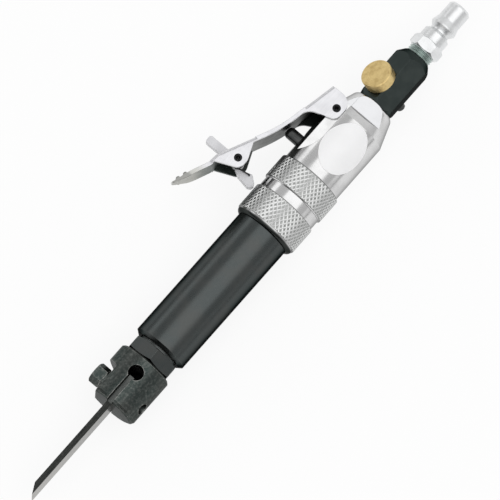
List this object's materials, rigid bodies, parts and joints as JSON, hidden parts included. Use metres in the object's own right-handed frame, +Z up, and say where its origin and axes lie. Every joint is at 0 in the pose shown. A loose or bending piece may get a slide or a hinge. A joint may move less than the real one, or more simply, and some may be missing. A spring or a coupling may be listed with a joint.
{
  "type": "pneumatic scraper",
  "caption": "Slim air-driven scraper: flat blade in a slotted chuck on a reciprocating piston, knurled union, lever throttle with safety catch, flow regulator and quick air plug.",
  "frame": {"origin": "on the barrel's axis, at the front face of the knurled union collar, where the bare barrel ends", "axes": "+X along the tool towards the air inlet, +Y towards the throttle lever, +Z up along the lever's pins, as the tool lies on its side"},
  "size_m": [0.3305, 0.0694, 0.035],
  "materials": {
    "black_steel": "black oxide, satin",
    "blade_steel": "grey spring steel, ground bevel",
    "ground_steel": "ground",
    "polished_aluminium": "turned and polished, knurled bands",
    "lever_steel": "bright plated sheet",
    "pin_steel": "dark polished",
    "spring_steel": "blackened wire",
    "white_paint": "white satin paint",
    "label_film": "plain white film",
    "black_aluminium": "black anodised, satin",
    "brass": "turned",
    "bronze": "sintered bronze",
    "zinc_steel": "bright zinc plate",
    "seal_rubber": "nitrile",
    "buffer_rubber": "hard rubber"
  },
  "bodies": {
    "body": {"barrel": "black_steel", "front_cap": "black_steel", "guide_bush": "bronze", "rod_wiper": "seal_rubber", "cap_seal": "seal_rubber", "front_buffer": "buffer_rubber", "union_collar": "polished_aluminium", "valve_front_plate": "ground_steel", "valve_rear_plate": "ground_steel", "valve_seal": "seal_rubber", "rear_housing": "polished_aluminium", "throttle_bush": "brass", "bush_seal": "seal_rubber", "throttle_spring": "spring_steel", "lever_pin": "pin_steel", "label_plate": "label_film", "hose_adapter": "black_aluminium", "adapter_seal": "seal_rubber", "inlet_screen": "brass", "plug_seal": "seal_rubber", "air_plug": "zinc_steel"},
    "striker": {"piston": "ground_steel", "piston_rings": "ground_steel", "blade_chuck": "black_steel", "clamp_bolt": "black_steel", "clamp_washer": "black_steel", "scraper_blade": "blade_steel"},
    "valve": {"valve_disc": "ground_steel"},
    "lever": {"throttle_lever": "lever_steel", "lock_pin": "pin_steel", "lock_spring": "spring_steel"},
    "lock": {"safety_lock": "white_paint"},
    "plunger": {"throttle_plunger": "pin_steel", "poppet_seal": "seal_rubber"},
    "regulator": {"regulator_knob": "brass", "regulator_spindle": "ground_steel", "spindle_seal": "seal_rubber", "spindle_clip": "pin_steel"}
  },
  "joints": [
    {"name": "piston_stroke", "type": "slide", "parent": "body", "child": "striker", "axis": [-1, 0, 0], "range_m": [0, 0.0115]},
    {"name": "valve_flutter", "type": "slide", "parent": "body", "child": "valve", "axis": [1, 0, 0], "range_m": [-0.0002, 0.0006]},
    {"name": "lever_hinge", "type": "hinge", "parent": "body", "child": "lever", "pos_m": [0.0707, 0.0121, 0], "axis": [0, 0, 1], "range_deg": [0, 8.5], "stiffness_Nm_per_rad": 1, "springref_deg": -17.19},
    {"name": "lock_hinge", "type": "hinge", "parent": "lever", "child": "lock", "pos_m": [0.0192, 0.0328, 0], "axis": [0, 0, 1], "range_deg": [-64, 0], "deforming": ["lock_spring"]},
    {"name": "plunger_slide", "type": "slide", "parent": "body", "child": "plunger", "axis": [0, -1, 0], "range_m": [0, 0.0036], "deforming": ["throttle_spring"]},
    {"name": "regulator_turn", "type": "hinge", "parent": "body", "child": "regulator", "pos_m": [0.0969, 0, 0], "axis": [0, 0.5446, 0.8387], "range_deg": [0, 90]}
  ],
  "couplings": [
    {"joint": "lock_hinge", "follows": "lever_hinge", "ratio": -7.5},
    {"joint": "plunger_slide", "follows": "lever_hinge", "m_per_rad": 0.0235}
  ]
}
